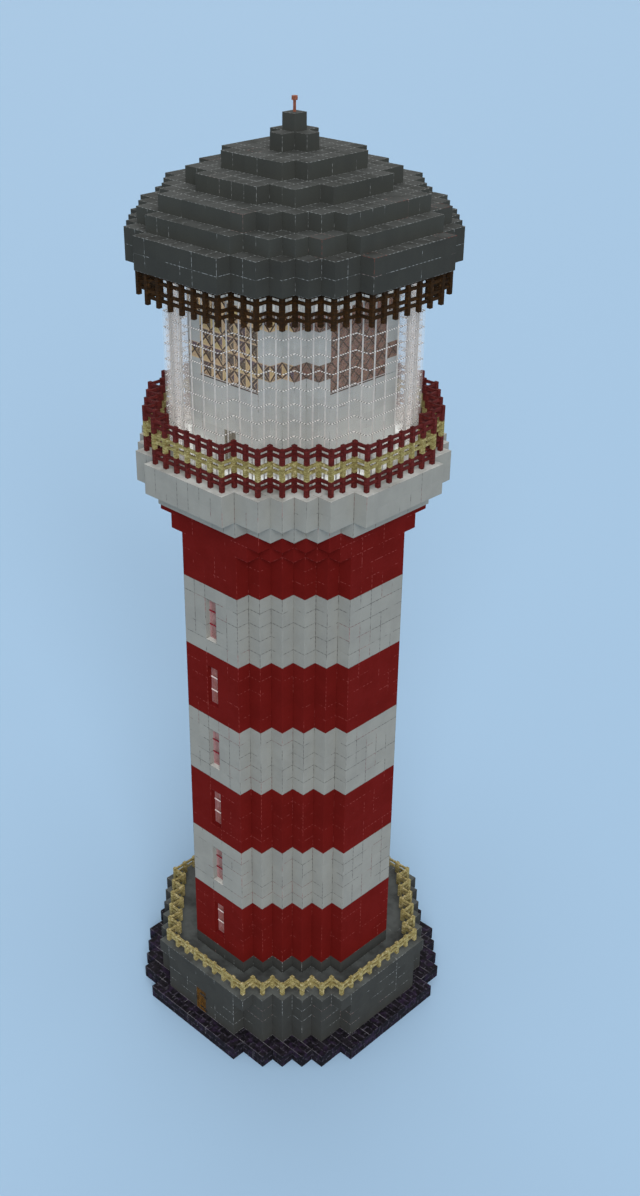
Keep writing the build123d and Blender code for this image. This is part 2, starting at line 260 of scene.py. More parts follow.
def footingFinish():
    finish = Finish("blackPolishedBrick", roughness=0.85, specular=0.1)
    grid = blockGrid(finish)
    x, y, z = finish.parts(finish.place)
    wander = (finish.noise(blackStone["wanderScale"]) - 0.5) * blackStone["wander"]
    # rows run along x on the tops, and level round the sides
    isEnd, isTop = grid["faces"][0], grid["faces"][2]
    rows = (y * isTop + z * (1 - isTop) + wander) * blackStone["rowsPerMetre"]
    shift = finish.maths("FLOOR", rows) * blackStone["shift"]
    bricks = (x * (1 - isEnd) + y * isEnd) * blackStone["bricksPerMetre"] + shift
    fromRow = 0.5 - abs(finish.maths("FRACT", rows) - 0.5)
    fromEnd = 0.5 - abs(finish.maths("FRACT", bricks) - 0.5)
    chip = finish.step(finish.noise(blackStone["chips"], 3.0), 0.44, 0.62)
    # pale lines along the brick edges: a painted highlight on their raised ridges, which the bump also raises
    highlightedRidge = (1 - finish.step(fromRow, 0.03, 0.17)).most(1 - finish.step(fromEnd, 0.02, 0.09)) * chip
    blotch = finish.step(finish.noise(blackStone["blotches"], 3.0), 0.42, 0.62)
    tint = finish.step(finish.noise(blackStone["tints"]), 0.5, 0.68)
    colour = finish.blend(blotch, blackStone["deep"], blackStone["base"])
    colour = finish.blend(highlightedRidge * 0.75, colour, blackStone["highlightedRidge"])
    colour = finish.blend(tint * 0.5, colour, blackStone["purple"])
    # worn pale joints between blocks, along x on the tops and here and there elsewhere
    width = blackStone["jointWidth"] / block
    toEdge = grid["toEdge"]
    showAlong, showOther = [
        shownShare(finish, finish.noise(blackStone[way + "Runs"]), blackStone[way + "Joints"])
        for way in ("along", "other")]
    along = jointLine(finish, toEdge[1], width) * isTop * showAlong
    other = jointLine(finish, toEdge[0].least(toEdge[2]), width) * showOther
    breaks = finish.step(finish.noise(blackStone["breaks"], 1.0), 0.5, 0.6)
    joint = along.most(other) * (1 - breaks * 0.7)
    finish.colour(finish.blend(joint * 0.8, colour, blackStone["joint"]))
    finish.feed("Roughness", 0.72 + blotch * 0.2)
    finish.relief(highlightedRidge * 0.5 + blotch * 0.3 - joint * 0.4, blackStone["bumpDepth"], 0.7)
    return finish.material


finishes = {
    "stone_white": stoneFinish("whiteBlockStone", whiteStone),
    "stone_red": stoneFinish("redBlockStone", redStone),
    "stone_dark": stoneFinish("darkBlockStone", darkStone),
    # the core's stone is painted lighter than the white stone: painted light
    "stone_grey": stoneFinish("coreStoneWithPaintedLight", coreStonePaintedLight),
    "stone_black": footingFinish(),
    "deck": stoneFinish("whiteDeckStone", deckStone),
    "roof": stoneFinish("darkRoofStone", roofStone),
    "eaves": stoneFinish("darkEavesStone", eavesStone),
}
print("stone finishes ready")


# streak is how fine the grain is along each axis; mottle is how strong the pale spots are
straw = {
    "face": paint(166, 155, 106), "dark": paint(120, 107, 64), "pale": paint(200, 186, 146),
    "streak": (6, 6, 34), "mottle": 0.9,
}
strawRail = dict(straw, face=paint(152, 144, 94), dark=paint(112, 100, 58), pale=paint(186, 174, 132))
crimson = {
    "face": paint(90, 28, 26), "dark": paint(66, 17, 15), "pale": paint(112, 45, 41),
    "streak": (5, 5, 30), "mottle": 0.6,
}
umber = {
    "face": paint(53, 31, 5), "dark": paint(30, 17, 2), "pale": paint(76, 50, 18),
    "streak": (5, 5, 38), "mottle": 0.6,
}
strawRow = (22.5, 23.0)  # the middle row of the gallery railing is straw
brownDoor = {
    "face": paint(100, 69, 25), "dark": paint(64, 43, 15), "pale": paint(120, 91, 38),
    "streak": (22, 22, 2.6), "mottle": 0.5,
}
greyDoor = dict(brownDoor, face=paint(112, 106, 92), dark=paint(84, 78, 66), pale=paint(136, 130, 114))


def timberColour(finish, look):
    grain = finish.noise(1.0, 3.0, squeeze=look["streak"])
    spots = finish.step(finish.noise(9.0), 0.55, 0.72)
    colour = finish.blend(finish.step(grain, 0.4, 0.65), look["dark"], look["face"])
    return finish.blend(spots * look["mottle"], colour, look["pale"]), grain


def timberFinish(name, look, second=None, heights=None):  # the second look shows between two heights
    finish = Finish(name, roughness=0.8, specular=0.15)
    colour, grain = timberColour(finish, look)
    if second:
        height = finish.parts(finish.place)[2]
        isSecond = (height > heights[0]) * (height < heights[1])
        colour = finish.blend(isSecond, colour, timberColour(finish, second)[0])
    finish.colour(colour)
    finish.feed("Roughness", 0.7 + grain * 0.2)
    finish.relief(grain + finish.noise(60.0) * 0.3, 0.004, 0.6)
    return finish.material


finishes["fence_straw"] = timberFinish("strawFence", straw)
finishes["fence_red"] = timberFinish("crimsonAndStrawRailing", crimson, strawRail, strawRow)
finishes["fence_dark"] = timberFinish("umberLattice", umber)
finishes["door_brown"] = timberFinish("brownDoorBoards", brownDoor)
finishes["door_grey"] = timberFinish("greyDoorBoards", greyDoor)
print("timber finishes ready")


# a haze is how much of the light a pane stops; the flat panes are clearer than the stepped corners
lanternGlass = {
    "tint": paint(238, 231, 226), "streak": paint(244, 238, 234),
    # the milkier haze of two opposite corners is painted glare, at the flanks where the glazing is seen edge-on
    "sideHaze": 0.022, "cornerHaze": 0.03, "cornerGlareHaze": 0.11, "streaks": 0.012, "smears": 0.008,
}


def glassFinish(name, haze, glareHaze=None):
    finish = Finish(name, roughness=0.2, specular=0.15)
    streaks = finish.step(finish.noise(1.0, squeeze=(9, 9, 1.4)), 0.55, 0.75)
    smears = finish.step(finish.noise(2.2, 3.0), 0.5, 0.75)
    # the milkier corners are painted glare, standing in for the whitening of glass seen at a grazing angle
    if glareHaze:  # two opposite corners have milkier panes than the other two
        x, y = finish.parts(finish.place)[:2]
        haze = finish.step(x * y, 0.0, 0.5) * (glareHaze - haze) + haze
    finish.colour(finish.blend(streaks * 0.5, lanternGlass["tint"], lanternGlass["streak"]))
    finish.feed("Alpha", haze + streaks * lanternGlass["streaks"] + smears * lanternGlass["smears"])
    finish.feed("Roughness", 0.1 + smears * 0.3)
    return finish.material


bands = {"foot": 3.0, "height": 2.5, "count": 6}  # from the plinth up, red first
windowGlass = {
    "onRed": paint(152, 100, 94), "onWhite": paint(148, 115, 112),
    "shine": paint(162, 130, 128), "body": 0.82,
}
windowPaints = {
    "bar": {"onRed": paint(226, 206, 200), "onWhite": paint(128, 22, 36)},
    "frame": {"onRed": paint(138, 94, 94), "onWhite": paint(156, 120, 120)},
    "worn": paint(150, 110, 108),
}


def bandColour(finish, look):  # one colour in the red bands and another in the white ones
    height = finish.parts(finish.place)[2]
    inPair = finish.maths("FLOORED_MODULO", height - bands["foot"], 2 * bands["height"])
    return finish.blend(inPair < bands["height"], look["onWhite"], look["onRed"])


def windowFinish():
    finish = Finish("windowPaneGlass", roughness=0.2, specular=0.4)
    sheen = finish.step(finish.noise(1.0, squeeze=(4, 4, 2.2)), 0.4, 0.7)
    finish.colour(finish.blend(sheen * 0.6, bandColour(finish, windowGlass), windowGlass["shine"]))
    finish.feed("Roughness", 0.15 + sheen * 0.3)
    finish.feed("Alpha", windowGlass["body"] + sheen * 0.15)
    return finish.material


def windowPaintFinish(name, look):
    finish = Finish(name, roughness=0.6, specular=0.2)
    wear = finish.noise(14.0, 3.0)
    worn = finish.step(wear, 0.55, 0.75)
    finish.colour(finish.blend(worn * 0.3, bandColour(finish, look), windowPaints["worn"]))
    finish.relief(wear, 0.003, 0.5)
    return finish.material


# a lit block shows tan, grey and plum quarters between brown bars, an unlit one is mottled brown
lampBlocks = {
    "lit": [
        (0.0, paint(184, 154, 108)), (0.2, paint(168, 150, 90)), (0.38, paint(186, 152, 114)),
        (0.48, paint(80, 64, 42)), (0.72, paint(60, 46, 28)), (0.86, paint(74, 50, 62))],
    "unlit": [
        (0.0, paint(40, 26, 16)), (0.28, paint(78, 56, 38)), (0.5, paint(130, 98, 76)),
        (0.68, paint(112, 62, 46)), (0.9, paint(84, 66, 58))],
    "bar": paint(54, 34, 16), "faintBar": paint(50, 34, 22), "barWidth": 0.05,
    "border": paint(204, 172, 130), "dullBorder": paint(116, 88, 68), "borderWidth": 0.03,
    "stripe": (0.10, 0.13, 0.17, 0.20),  # from a bar's middle line to where the pale stripe starts and ends
    "swirls": 9.0, "twist": 1.6, "bumpDepth": 0.012,
}


def litSides(finish):  # 1 on the two sides whose lamps are lit, 0 on the other two
    x, y = finish.parts(finish.place)[:2]
    return finish.step(-1 * y - x, 0.0, 0.05)


def lampFinish():
    finish = Finish("lampBlockGlass", roughness=0.5, specular=0.3)
    grid = blockGrid(finish)
    lit = litSides(finish)
    # along its face a point is measured along y on the sides that face x, else along x
    facesX, (inX, inY, height) = grid["faces"][0], grid["within"]
    along = inY * facesX + inX * (1 - facesX)
    # the block's two diagonals part its face into four quarters, each of its own colour
    isBeyond = along + height > 1
    quarter = (along > height) + isBeyond * 2
    spread = finish.node("CombineXYZ", None, {0: quarter, 1: quarter * 3.7, 2: quarter * 7.1})
    tone = finish.chance(finish.vector("ADD", grid["cell"], spread))
    swirl = finish.noise(lampBlocks["swirls"], 3.0, twist=lampBlocks["twist"], rough=0.5)
    litTone = tone * 0.45 + isBeyond * 0.4 + finish.step(swirl, 0.35, 0.65) * 0.12
    unlitTone = tone * 0.3 + finish.step(swirl, 0.3, 0.7) * 0.7
    litColour = finish.ramp(litTone, lampBlocks["lit"])
    # a pale stripe follows each bar in places
    near = abs(along - height).least(abs(along + height - 1))
    rise, full, fall, end = lampBlocks["stripe"]
    stripe = finish.step(near, rise, full) * (1 - finish.step(near, fall, end))
    stripe = stripe * finish.step(finish.noise(6.0), 0.4, 0.6)
    litColour = finish.blend(stripe * 0.7, litColour, lampBlocks["border"])
    colour = finish.blend(lit, finish.ramp(unlitTone, lampBlocks["unlit"]), litColour)
    bar = 1 - finish.step(near, lampBlocks["barWidth"], lampBlocks["barWidth"] + 0.05)
    barColour = finish.blend(lit, lampBlocks["faintBar"], lampBlocks["bar"])
    colour = finish.blend(bar * (lit * 0.55 + 0.3), colour, barColour)
    edge = grid["toEdge"][0].least(grid["toEdge"][1]).least(grid["toEdge"][2])
    rim = 1 - finish.step(edge, lampBlocks["borderWidth"], lampBlocks["borderWidth"] + 0.04)
    rimColour = finish.blend(lit, lampBlocks["dullBorder"], lampBlocks["border"])
    colour = finish.blend(rim * (lit * 0.4 + 0.25), colour, rimColour)
    smoke = finish.step(finish.noise(16.0, 3.0), 0.5, 0.7)
    finish.colour(finish.blend(smoke * 0.35, colour, lampBlocks["faintBar"]))
    finish.feed("Roughness", 0.4 + swirl * 0.3)
    finish.relief(tone + swirl * 0.4 - rim * 0.4, lampBlocks["bumpDepth"], 0.6)
    return finish.material


metals = {
    "iron": {"name": "blackenedIron", "light": paint(72, 70, 68), "dark": paint(42, 40, 40), "rough": 0.5},
    "copper": {"name": "redCopper", "light": paint(176, 104, 78), "dark": paint(130, 76, 56), "rough": 0.55},
}


def metalFinish(look):
    finish = Finish(look["name"], roughness=look["rough"], specular=0.4, metallic=0.5)
    wear = finish.noise(18.0, 4.0)
    finish.colour(finish.blend(finish.step(wear, 0.4, 0.65), look["dark"], look["light"]))
    finish.feed("Roughness", look["rough"] - 0.1 + wear * 0.25)
    finish.relief(wear, 0.003, 0.5)
    return finish.material


finishes["lantern_glass"] = glassFinish("lanternGlass", lanternGlass["sideHaze"])
finishes["corner_glass"] = glassFinish(
    "lanternCornerGlass", lanternGlass["cornerHaze"], lanternGlass["cornerGlareHaze"])
finishes["window_glass"] = windowFinish()
finishes["window_frame"] = windowPaintFinish("windowFramePaint", windowPaints["frame"])
finishes["window_bar"] = windowPaintFinish("windowBarPaint", windowPaints["bar"])
finishes["lamp_glass"] = lampFinish()
finishes["iron"] = metalFinish(metals["iron"])
finishes["copper"] = metalFinish(metals["copper"])

ownFinish = {  # nodes with a finish of their own in a shared slot
    "glazing_corners": "corner_glass", "gallery_deck": "deck", "gallery_apron": "deck",
    "eaves_course": "eaves", "lower_dome": "roof", "upper_dome": "roof", "dome_crown": "roof",
}
for part in frame["record"]["subparts"]:
    slots = nodes[part["node"]].data.materials
    slots.clear()
    slots.append(finishes[ownFinish.get(part["node"], part["material_slot"])])
print("finishes on the CAD nodes:", len(finishes))


def blankTree(name, inputs):  # a modifier tree with named inputs and one result
    tree = bpy.data.node_groups.new(name, "GeometryNodeTree")
    tree.is_modifier = True
    sockets = {}
    for label, kind in inputs:
        socket = tree.interface.new_socket(label, in_out="INPUT", socket_type="NodeSocket" + kind)
        sockets[label] = socket.identifier
    tree.interface.new_socket("Result", in_out="OUTPUT", socket_type="NodeSocketGeometry")
    start = tree.nodes.new("NodeGroupInput")
    return tree, sockets, start


def readVector(tree, name):  # a named vector attribute
    reading = tree.nodes.new("GeometryNodeInputNamedAttribute")
    reading.data_type = "FLOAT_VECTOR"
    reading.inputs["Name"].default_value = name
    return reading.outputs["Attribute"]


def copyOnPoints(tree, start, points, shape, rotation, scale):  # the copies made real, in their finish
    add, link = tree.nodes.new, tree.links.new
    copies = add("GeometryNodeInstanceOnPoints")
    link(points, copies.inputs["Points"])
    link(shape, copies.inputs["Instance"])
    link(rotation, copies.inputs["Rotation"])
    link(scale, copies.inputs["Scale"])
    whole = add("GeometryNodeRealizeInstances")
    link(copies.outputs["Instances"], whole.inputs["Geometry"])
    dress = add("GeometryNodeSetMaterial")
    link(whole.outputs["Geometry"], dress.inputs["Geometry"])
    link(start.outputs["Finish"], dress.inputs["Material"])
    link(dress.outputs["Geometry"], add("NodeGroupOutput").inputs["Result"])


def barTree():  # a square bar along each line, its depth turned outward
    inputs = (
        ("Lines", "Geometry"), ("Width", "Float"), ("Depth", "Float"), ("Overrun", "Float"),
        ("Finish", "Material"))
    tree, sockets, start = blankTree("barsOnLines", inputs)
    add, link = tree.nodes.new, tree.links.new
    ends = add("GeometryNodeInputMeshEdgeVertices")
    along = add("ShaderNodeVectorMath")
    along.operation = "SUBTRACT"
    link(ends.outputs["Position 2"], along.inputs[0])
    link(ends.outputs["Position 1"], along.inputs[1])
    keep = add("GeometryNodeStoreNamedAttribute")
    keep.data_type, keep.domain = "FLOAT_VECTOR", "EDGE"
    keep.inputs["Name"].default_value = "along"
    link(start.outputs["Lines"], keep.inputs["Geometry"])
    link(along.outputs["Vector"], keep.inputs["Value"])
    middles = add("GeometryNodeMeshToPoints")
    middles.mode = "EDGES"
    link(keep.outputs["Geometry"], middles.inputs["Mesh"])
    turn = add("FunctionNodeAxesToRotation")
    turn.primary_axis, turn.secondary_axis = "X", "Z"
    direction = readVector(tree, "along")
    link(direction, turn.inputs["Primary Axis"])
    link(readVector(tree, "outward"), turn.inputs["Secondary Axis"])
    length = add("ShaderNodeVectorMath")
    length.operation = "LENGTH"
    link(direction, length.inputs[0])
    longer = add("ShaderNodeMath")
    link(length.outputs["Value"], longer.inputs[0])
    link(start.outputs["Overrun"], longer.inputs[1])
    size = add("ShaderNodeCombineXYZ")
    link(longer.outputs[0], size.inputs[0])
    link(start.outputs["Width"], size.inputs[1])
    link(start.outputs["Depth"], size.inputs[2])
    bar = add("GeometryNodeMeshCube")
    copyOnPoints(tree, start, middles.outputs["Points"], bar.outputs["Mesh"],
                 turn.outputs["Rotation"], size.outputs["Vector"])
    return tree, sockets


def studTree():  # a dome on each point, its rise turned outward
    inputs = (("Points", "Geometry"), ("Radius", "Float"), ("Rise", "Float"), ("Finish", "Material"))
    tree, sockets, start = blankTree("studsOnPoints", inputs)
    add, link = tree.nodes.new, tree.links.new
    points = add("GeometryNodeMeshToPoints")
    link(start.outputs["Points"], points.inputs["Mesh"])
    turn = add("FunctionNodeAlignRotationToVector")
    turn.axis = "Z"
    link(readVector(tree, "outward"), turn.inputs["Vector"])
    size = add("ShaderNodeCombineXYZ")
    for number, label in enumerate(("Radius", "Radius", "Rise")):
        link(start.outputs[label], size.inputs[number])
    dome = add("GeometryNodeMeshUVSphere")
    dome.inputs["Segments"].default_value = 10
    dome.inputs["Rings"].default_value = 6
    copyOnPoints(tree, start, points.outputs["Points"], dome.outputs["Mesh"],
                 turn.outputs["Rotation"], size.outputs["Vector"])
    return tree, sockets


barsOnLines, barSockets = barTree()
studsOnPoints, studSockets = studTree()
print("bar and stud trees ready")


def addPiece(name, mesh, body):
    piece = bpy.data.objects.new(name, mesh)
    bpy.context.scene.collection.objects.link(piece)
    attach(piece, body)


def growPiece(name, guideMesh, tree, sockets, inputs, body):
    # the tree runs over a guide, and the mesh that it makes is kept
    guide = bpy.data.objects.new(name + "Guide", guideMesh)
    bpy.context.scene.collection.objects.link(guide)
    modifier = guide.modifiers.new("copies", "NODES")
    modifier.node_group = tree
    for label, value in inputs.items():
        modifier[sockets[label]] = value
    ready = guide.evaluated_get(bpy.context.evaluated_depsgraph_get())
    result = bpy.data.meshes.new_from_object(ready)
    bpy.data.objects.remove(guide)
    for spare in ("along", "outward"):
        if spare in result.attributes:
            result.attributes.remove(result.attributes[spare])
    addPiece(name, result, body)


def layBars(name, lines, width, depth, finishName, overrun=0.0):
    # lines is a list of (start, end, outward); outward is the way the bar's depth points
    mesh = bpy.data.meshes.new(name + "Lines")
    points = [point for line in lines for point in line[:2]]
    mesh.from_pydata(points, [(2 * number, 2 * number + 1) for number in range(len(lines))], [])
    facing = mesh.attributes.new("outward", "FLOAT_VECTOR", "EDGE")
    facing.data.foreach_set("vector", [value for line in lines for value in line[2]])
    inputs = {"Width": width, "Depth": depth, "Overrun": overrun, "Finish": finishes[finishName]}
    print(name, len(lines), "bars")
    growPiece(name, mesh, barsOnLines, barSockets, inputs, "tower")


def layStuds(name, points, radius, rise, body):  # iron studs on faces towards -Y
    mesh = bpy.data.meshes.new(name + "Points")
    mesh.from_pydata(points, [], [])
    facing = mesh.attributes.new("outward", "FLOAT_VECTOR", "POINT")
    facing.data.foreach_set("vector", (0, -1, 0) * len(points))
    inputs = {"Radius": radius, "Rise": rise, "Finish": finishes["iron"]}
    print(name, len(points), "studs")
    growPiece(name, mesh, studsOnPoints, studSockets, inputs, body)


def turned(point, quarter):  # a plan point moved round the axis by quarter turns
    x, y = point
    for each in range(quarter):
        x, y = -y, x
    return x, y


def ringSteps(ring):
    # a ring's pairs are how far (across, deep) its outline reaches from the axis, in blocks, from the front on;
    # a step is one block's length of that outline, as x0, y0, x1, y1 in metres
    corner = [ring[0]]
    for across, deep in ring[1:]:
        corner += [(corner[-1][0], deep), (across, deep)]
    path = [turned((across, -deep), quarter) for quarter in range(4) for across, deep in corner]
    steps = []
    for (x0, y0), (x1, y1) in zip(path, path[1:] + path[:1]):
        count = max(abs(x1 - x0), abs(y1 - y0))
        across, along = (x1 - x0) * block / count, (y1 - y0) * block / count
        for number in range(count):
            x, y = x0 * block + across * number, y0 * block + along * number
            steps.append((x, y, x + across, y + along))
    return steps


def outwardOf(step):
    x0, y0, x1, y1 = step
    across, along = y1 - y0, x0 - x1
    span = math.hypot(across, along)
    return (across / span, along / span, 0.0)


def pushed(step, outward, distance):  # a step moved straight outwards
    x0, y0, x1, y1 = step
    across, along = outward[0] * distance, outward[1] * distance
    return (x0 + across, y0 + along, x1 + across, y1 + along)


def levelLine(step, z, outward, near=0.0, far=1.0):  # a level line along a step, or a part of it
    x0, y0, x1, y1 = step
    start, end = [(x0 + (x1 - x0) * part, y0 + (y1 - y0) * part, z) for part in (near, far)]
    return (start, end, outward)


fenceRings = {
    "terrace": [(4, 9), (5, 8), (6, 7), (7, 6), (8, 5), (9, 4)],
    "railing": [(3, 9), (5, 8), (6, 7), (7, 6), (8, 5), (9, 3)],
}
fineRails = {"width": 0.062, "height": 0.094, "overrun": 0.06}  # the overrun closes the corners
railSets = {
    "terraceLowerRails": {"ring": "terrace", "slot": "fence_straw", "heights": [2.734]},
    "galleryFineRails": {
        "ring": "railing", "slot": "fence_red", "heights": [22.234, 22.422, 22.734, 22.922, 23.234]},
    "eavesFineRails": {"ring": "railing", "slot": "fence_dark", "heights": [27.234, 27.734, 27.922]},
}
for name, rails in railSets.items():
    steps = ringSteps(fenceRings[rails["ring"]])
    railLines = [levelLine(step, z, (0, 0, 1)) for z in rails["heights"] for step in steps]
    layBars(name, railLines, fineRails["width"], fineRails["height"], rails["slot"],
            fineRails["overrun"])


# the lantern room's frame lines: an upright down the middle of each block, and dashes at each course
glazingBars = {
    "ring": [(2, 8), (4, 7), (5, 6), (6, 5), (7, 4), (8, 2)], "foot": 22.0, "head": 28.0, "courses": 12,
    "uprightWidth": 0.013, "uprightDepth": 0.05,
    "dashes": 5, "dashDepth": 0.036, "face": 0.022,  # dashes of each kind to a block; how far out they stand
    "paleAt": 0.3, "paleLength": 0.042, "paleWidth": 0.018,
    "darkAt": 0.8, "darkLength": 0.028, "darkWidth": 0.013,
}
glazingPaints = {
    "glazing_bar": {"name": "paleGlazingBar", "face": paint(182, 178, 174), "worn": paint(164, 161, 158)},
    "glazing_dash": {"name": "whiteGlazingDash", "face": paint(226, 222, 218), "worn": paint(204, 200, 196)},
    "glazing_dark_dash": {"name": "greyGlazingDash", "face": paint(56, 58, 60), "worn": paint(84, 84, 86)},
}


def glazingFinish(look):
    finish = Finish(look["name"], roughness=0.5, specular=0.3)
    wear = finish.noise(10.0, 3.0)
    finish.colour(finish.blend(finish.step(wear, 0.45, 0.7), look["face"], look["worn"]))
    finish.relief(wear, 0.002, 0.4)
    return finish.material


def dashLine(step, number, kind, z, outward):  # one dash, pale or dark
    middle = (number + glazingBars[kind + "At"]) / glazingBars["dashes"]
    half = glazingBars[kind + "Length"] / 2 / block
    return levelLine(step, z, outward, middle - half, middle + half)


for key, look in glazingPaints.items():
    finishes[key] = glazingFinish(look)
uprights, paleDashes, darkDashes = [], [], []
for step in ringSteps(glazingBars["ring"]):
    outward = outwardOf(step)
    foot, head = [levelLine(step, glazingBars[end], outward, 0.5)[0] for end in ("foot", "head")]
    uprights.append((foot, head, outward))
    dashStep = pushed(step, outward, glazingBars["face"])
    for course in range(1, glazingBars["courses"]):
        z = glazingBars["foot"] + course * block
        for number in range(glazingBars["dashes"]):
            paleDashes.append(dashLine(dashStep, number, "pale", z, outward))
            darkDashes.append(dashLine(dashStep, number, "dark", z, outward))
layBars("glazingUprights", uprights, glazingBars["uprightWidth"], glazingBars["uprightDepth"],
        "glazing_bar")
layBars("glazingPaleDashes", paleDashes, glazingBars["paleWidth"], glazingBars["dashDepth"],
        "glazing_dash")
layBars("glazingDarkDashes", darkDashes, glazingBars["darkWidth"], glazingBars["dashDepth"],
        "glazing_dark_dash")


# the sill is above a band's foot; face is the front of the panes, and half the half width of an opening
windowGrid = {"sill": 0.5, "face": -3.562, "half": 0.246, "width": 0.042, "depth": 0.02}
windowLines = []
for band in range(bands["count"]):
    for course in (1, 2):  # a level bar at each course
        y = windowGrid["face"] - windowGrid["depth"] / 2
        z = bands["foot"] + band * bands["height"] + windowGrid["sill"] + course * block
        windowLines.append(levelLine((-windowGrid["half"], y, windowGrid["half"], y), z, (0, -1, 0)))
layBars("windowBars", windowLines, windowGrid["width"], windowGrid["depth"], "window_bar")


# the lamps' lattice crosses each block of the four panels and of the two rows that pass round the corners
lampLattice = {
    "width": 0.034, "depth": 0.024, "proud": 0.003, "overrun": -0.04,
    "side": 2.75, "foot": 24.5, "blocks": 5,  # of the panels, which are square
    "corner": [
        (2.75, 1.25), (2.75, 1.75), (2.25, 1.75), (2.25, 2.25), (1.75, 2.25), (1.75, 2.75), (1.25, 2.75)],
    "rowFeet": [25.0, 26.5],
    "wood": (paint(50, 30, 14), paint(78, 52, 28)), "faintWood": (paint(58, 40, 28), paint(84, 62, 46)),
}


def latticeFinish():
    finish = Finish("lampLatticeWood", roughness=0.8, specular=0.1)
    grain = finish.noise(12.0, 3.0)
    streaks = finish.step(grain, 0.4, 0.65)
    wood, faintWood = [finish.blend(streaks, *lampLattice[key]) for key in ("wood", "faintWood")]
    finish.colour(finish.blend(litSides(finish), faintWood, wood))
    finish.relief(grain, 0.004, 0.6)
    return finish.material


def crossBars(step, low, outward):  # the two diagonals of one block's face, a little proud of it
    x0, y0, x1, y1 = pushed(step, outward, lampLattice["proud"])
    high = low + block
    return [((x0, y0, low), (x1, y1, high), outward), ((x0, y0, high), (x1, y1, low), outward)]


def panelStep(half, middle, back, quarter):  # a level stretch of a side, by its middle and half length
    return (*turned((middle - half, -back), quarter), *turned((middle + half, -back), quarter))


finishes["lamp_lattice"] = latticeFinish()
crosses = []
for quarter in range(4):
    for column in range(lampLattice["blocks"]):
        middle = (column + 0.5 - lampLattice["blocks"] / 2) * block
        step = panelStep(block / 2, middle, lampLattice["side"], quarter)
        for row in range(lampLattice["blocks"]):
            crosses += crossBars(step, lampLattice["foot"] + row * block, outwardOf(step))
for quarter in range(4):
    corner = [turned((x, -y), quarter) for x, y in lampLattice["corner"]]
    for start, end in zip(corner, corner[1:]):
        for low in lampLattice["rowFeet"]:
            crosses += crossBars((*start, *end), low, outwardOf((*end, *start)))
layBars("lampLattice", crosses, lampLattice["width"], lampLattice["depth"], "lamp_lattice",
        lampLattice["overrun"])


lampEdges = {
    "half": 1.25, "proud": 0.006, "depth": 0.02,
    "darkRise": 0.014, "darkWidth": 0.030, "paleRise": 0.048, "paleWidth": 0.016,
}


def edgeLines(rise):  # one level line along the foot of each lamp panel
    back = lampLattice["side"] + lampEdges["proud"]
    steps = [panelStep(lampEdges["half"], 0, back, quarter) for quarter in range(4)]
    return [levelLine(step, lampLattice["foot"] + rise, outwardOf(step)) for step in steps]


layBars("lampFootEdges", edgeLines(lampEdges["darkRise"]), lampEdges["darkWidth"], lampEdges["depth"],
        "lamp_lattice")
layBars("lampFootBeads", edgeLines(lampEdges["paleRise"]), lampEdges["paleWidth"], lampEdges["depth"],
        "glazing_bar")


# both doors have two columns of three panels; a field stands in each, and studs where stiles and rails cross
doorLeaves = {
    "ground": {"node": "ground_door", "body": "door", "slot": "door_brown"},
    "upper": {"node": "upper_door", "body": "tower", "slot": "door_grey"},
}
doorDetail = {
    "columns": 2, "rows": 3, "stile": 0.070, "recess": 0.020, "studRadius": 0.010, "studRise": 0.006,
    "margin": 0.014, "slope": 0.022, "rise": 0.014, "sink": 0.003,  # of the field in its panel
}
fieldFaces = [(4, 5, 6, 7), (3, 2, 1, 0), (0, 1, 5, 4), (1, 2, 6, 5), (2, 3, 7, 6), (3, 0, 4, 7)]


def fieldCorners(x, z, width, height, plane):  # the back and then the front corners of a field, facing -Y
    corners = []
    for inset, y in ((0.0, plane + doorDetail["sink"]), (doorDetail["slope"], plane - doorDetail["rise"])):
        across, upward = width / 2 - inset, height / 2 - inset
        corners += [(x - across, y, z - upward), (x + across, y, z - upward),
                    (x + across, y, z + upward), (x - across, y, z + upward)]
    return corners


for doorName, door in doorLeaves.items():
    low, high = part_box(door["node"])
    columns, rows, stile = doorDetail["columns"], doorDetail["rows"], doorDetail["stile"]
    panelWidth = (high[0] - low[0] - (columns + 1) * stile) / columns
    panelHeight = (high[2] - low[2] - (rows + 1) * stile) / rows
    points, faces = [], []
    for column in range(columns):
        for row in range(rows):
            x = low[0] + stile + panelWidth / 2 + column * (panelWidth + stile)
            z = low[2] + stile + panelHeight / 2 + row * (panelHeight + stile)
            width, height = panelWidth - 2 * doorDetail["margin"], panelHeight - 2 * doorDetail["margin"]
            faces += [[len(points) + number for number in face] for face in fieldFaces]
            points += fieldCorners(x, z, width, height, low[1] + doorDetail["recess"])
    mesh = bpy.data.meshes.new(doorName + "DoorFields")
    mesh.from_pydata(points, [], faces)
    mesh.materials.append(finishes[door["slot"]])
    addPiece(doorName + "DoorFields", mesh, door["body"])
    print(doorName + "DoorFields", columns * rows, "fields")
    studs = [
        (low[0] + stile / 2 + column * (panelWidth + stile), low[1],
         low[2] + stile / 2 + row * (panelHeight + stile))
        for column in range(columns + 1) for row in range(rows + 1)]
    layStuds(doorName + "DoorStuds", studs, doorDetail["studRadius"], doorDetail["studRise"], door["body"])


hingeBolts = {"radius": 0.009, "rise": 0.006}
boltRows = {  # places across and up, and the face that the bolts stand on
    "strapBolts": {"x": [-0.030, 0.055, 0.140], "z": [0.696, 1.304], "face": -4.760, "body": "door"},
    "bracketBolts": {"x": [0.285, 0.317], "z": [0.650, 1.258], "face": -4.776, "body": "tower"},
}
for name, bolts in boltRows.items():
    points = [(x, bolts["face"], z) for x in bolts["x"] for z in bolts["z"]]
    layStuds(name, points, hingeBolts["radius"], hingeBolts["rise"], bolts["body"])


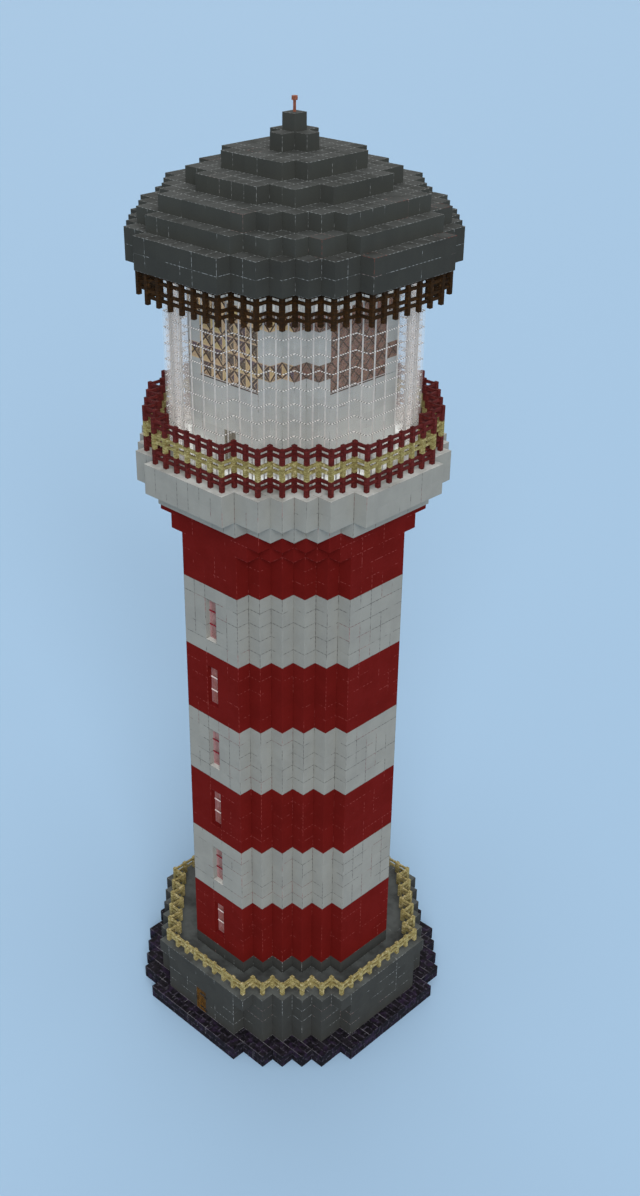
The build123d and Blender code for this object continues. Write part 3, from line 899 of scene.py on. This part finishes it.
studio = {
    "floor": paint(155, 185, 212), "floorShade": paint(157, 185, 211), "floorHalf": 900.0, "sky": 0.40,
    # azimuth, height, strength and softness of each sun, its angles in degrees
    "suns": [(48.5, 27.0, 2.7, 35.0), (60.0, 82.0, 0.8, 40.0), (227.0, 30.0, 0.8, 60.0)],
    # number, height and power of the lights in each ring
    "lanternRings": [(24, 27.2, 7.5), (48, 22.15, 4.6)], "lanternRadius": 3.45, "lanternSoftness": 0.3,
}


def addLight(name, kind, power, place=(0, 0, 0), turn=(0, 0, 0)):
    lamp = bpy.data.lights.new(name, kind)
    lamp.energy = power
    light = bpy.data.objects.new(name, lamp)
    light.location = place
    light.rotation_euler = turn
    bpy.context.scene.collection.objects.link(light)
    return lamp


def makeFloor():
    half = studio["floorHalf"]
    mesh = bpy.data.meshes.new("studioFloor")
    corners = [(-half, -half, 0), (half, -half, 0), (half, half, 0), (-half, half, 0)]
    mesh.from_pydata(corners, [], [(0, 1, 2, 3)])
    floor = bpy.data.objects.new("studioFloor", mesh)
    bpy.context.scene.collection.objects.link(floor)
    finish = Finish("paleFloor", roughness=0.9, specular=0.1)
    finish.colour(finish.blend(finish.noise(0.4) * 0.2, studio["floor"], studio["floorShade"]))
    mesh.materials.append(finish.material)


def makeLight():
    world = bpy.data.worlds.new("softStudio")
    world.use_nodes = True
    sky = world.node_tree.nodes["Background"]
    sky.inputs["Color"].default_value = (1, 1, 1, 1)
    sky.inputs["Strength"].default_value = studio["sky"]
    bpy.context.scene.world = world
    for azimuth, height, strength, softness in studio["suns"]:
        sun = addLight("softSun", "SUN", strength, turn=(math.radians(90 - height), 0, math.radians(azimuth)))
        sun.angle = math.radians(softness)
    radius = studio["lanternRadius"]  # the lantern room is lit from inside, between its core and glazing
    for count, height, power in studio["lanternRings"]:
        for number in range(count):
            turn = math.radians(360 * (number + 0.5) / count)
            place = (radius * math.cos(turn), radius * math.sin(turn), height)
            addLight("lanternLight", "POINT", power, place).shadow_soft_size = studio["lanternSoftness"]


viewpoint = {
    "place": (29.32, -29.80, 38.98), "turn": 45.0, "down": 28.64,
    "lens": 42.14, "sensor": 36.0, "shift": 0.0312, "farthest": 2000.0,
}


def makeCamera():
    data = bpy.data.cameras.new("viewCamera")
    data.sensor_fit = "AUTO"
    data.sensor_width = viewpoint["sensor"]
    data.lens = viewpoint["lens"]
    data.shift_x = viewpoint["shift"]
    data.clip_end = viewpoint["farthest"]
    camera = bpy.data.objects.new("viewCamera", data)
    camera.location = viewpoint["place"]
    camera.rotation_euler = (math.radians(90 - viewpoint["down"]), 0, math.radians(viewpoint["turn"]))
    bpy.context.scene.collection.objects.link(camera)
    bpy.context.scene.camera = camera


makeFloor()
makeLight()
makeCamera()
bpy.context.scene.view_settings.view_transform = "Standard"
bpy.context.scene.cycles.transparent_max_bounces = 48  # the glazing is seen through many panes at its sides
print("stage and camera ready")
